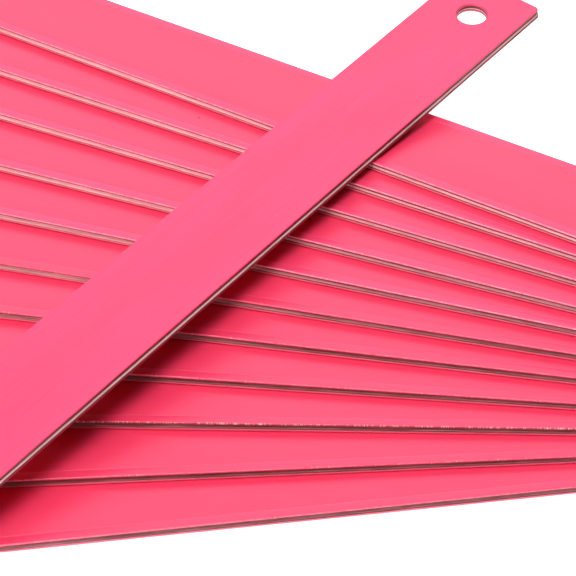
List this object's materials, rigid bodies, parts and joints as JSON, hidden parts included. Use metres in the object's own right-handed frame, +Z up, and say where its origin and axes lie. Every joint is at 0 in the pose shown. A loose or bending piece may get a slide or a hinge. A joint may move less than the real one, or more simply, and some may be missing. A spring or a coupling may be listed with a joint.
{
  "type": "scoring board",
  "caption": "Fanned deck of slim laminated scoring boards swinging on a screw post, with one loose matching board leaning across the fan.",
  "frame": {"origin": "middle of the bottom board's underside, on the surface the deck lies on", "axes": "+X along the bottom board towards the post, +Y to the back, the way the fan opens, +Z up"},
  "size_m": [0.3269, 0.2675, 0.0388],
  "materials": {
    "pink_face": "satin",
    "dark_ply": "matte",
    "pale_ply": "matte",
    "pink_back": "satin",
    "post_metal": "satin"
  },
  "bodies": {
    "deck_base": {"board_11_face_sheet": "pink_face", "board_11_dark_ply": "dark_ply", "board_11_pale_ply": "pale_ply", "board_11_back_sheet": "pink_back", "post_sleeve": "post_metal", "post_washer": "post_metal", "post_screw": "post_metal"},
    "board_10": {"board_10_face_sheet": "pink_face", "board_10_dark_ply": "dark_ply", "board_10_pale_ply": "pale_ply", "board_10_back_sheet": "pink_back"},
    "board_09": {"board_09_face_sheet": "pink_face", "board_09_dark_ply": "dark_ply", "board_09_pale_ply": "pale_ply", "board_09_back_sheet": "pink_back"},
    "board_08": {"board_08_face_sheet": "pink_face", "board_08_dark_ply": "dark_ply", "board_08_pale_ply": "pale_ply", "board_08_back_sheet": "pink_back"},
    "board_07": {"board_07_face_sheet": "pink_face", "board_07_dark_ply": "dark_ply", "board_07_pale_ply": "pale_ply", "board_07_back_sheet": "pink_back"},
    "board_06": {"board_06_face_sheet": "pink_face", "board_06_dark_ply": "dark_ply", "board_06_pale_ply": "pale_ply", "board_06_back_sheet": "pink_back"},
    "board_05": {"board_05_face_sheet": "pink_face", "board_05_dark_ply": "dark_ply", "board_05_pale_ply": "pale_ply", "board_05_back_sheet": "pink_back"},
    "board_04": {"board_04_face_sheet": "pink_face", "board_04_dark_ply": "dark_ply", "board_04_pale_ply": "pale_ply", "board_04_back_sheet": "pink_back"},
    "board_03": {"board_03_face_sheet": "pink_face", "board_03_dark_ply": "dark_ply", "board_03_pale_ply": "pale_ply", "board_03_back_sheet": "pink_back"},
    "board_02": {"board_02_face_sheet": "pink_face", "board_02_dark_ply": "dark_ply", "board_02_pale_ply": "pale_ply", "board_02_back_sheet": "pink_back"},
    "board_01": {"board_01_face_sheet": "pink_face", "board_01_dark_ply": "dark_ply", "board_01_pale_ply": "pale_ply", "board_01_back_sheet": "pink_back"},
    "loose_board": {"loose_board_face_sheet": "pink_face", "loose_board_dark_ply": "dark_ply", "loose_board_pale_ply": "pale_ply", "loose_board_back_sheet": "pink_back"}
  },
  "joints": [
    {"name": "board_10_swing", "type": "hinge", "parent": "deck_base", "child": "board_10", "pos_m": [0.1397, 0, 0.0025], "axis": [0, 0, -1], "range_deg": [-4.3, 0.7]},
    {"name": "board_09_swing", "type": "hinge", "parent": "board_10", "child": "board_09", "pos_m": [0.1397, 0, 0.005], "axis": [0, 0, -1], "range_deg": [-4.5, 0.5]},
    {"name": "board_08_swing", "type": "hinge", "parent": "board_09", "child": "board_08", "pos_m": [0.1397, 0, 0.0075], "axis": [0, 0, -1], "range_deg": [-4.1, 0.9]},
    {"name": "board_07_swing", "type": "hinge", "parent": "board_08", "child": "board_07", "pos_m": [0.1397, 0, 0.01], "axis": [0, 0, -1], "range_deg": [-4.1, 0.9]},
    {"name": "board_06_swing", "type": "hinge", "parent": "board_07", "child": "board_06", "pos_m": [0.1397, 0, 0.0125], "axis": [0, 0, -1], "range_deg": [-3.7, 1.3]},
    {"name": "board_05_swing", "type": "hinge", "parent": "board_06", "child": "board_05", "pos_m": [0.1397, 0, 0.015], "axis": [0, 0, -1], "range_deg": [-3.9, 1.1]},
    {"name": "board_04_swing", "type": "hinge", "parent": "board_05", "child": "board_04", "pos_m": [0.1397, 0, 0.0175], "axis": [0, 0, -1], "range_deg": [-3.9, 1.1]},
    {"name": "board_03_swing", "type": "hinge", "parent": "board_04", "child": "board_03", "pos_m": [0.1397, 0, 0.02], "axis": [0, 0, -1], "range_deg": [-3.8, 1.2]},
    {"name": "board_02_swing", "type": "hinge", "parent": "board_03", "child": "board_02", "pos_m": [0.1397, 0, 0.0225], "axis": [0, 0, -1], "range_deg": [-3, 2]},
    {"name": "board_01_swing", "type": "hinge", "parent": "board_02", "child": "board_01", "pos_m": [0.1397, 0, 0.025], "axis": [0, 0, -1], "range_deg": [-3.6, 1.4]},
    {"name": "loose_board_lift", "type": "slide", "parent": "board_01", "child": "loose_board", "axis": [0, 0, 1], "range_m": [0, 0.06]}
  ]
}
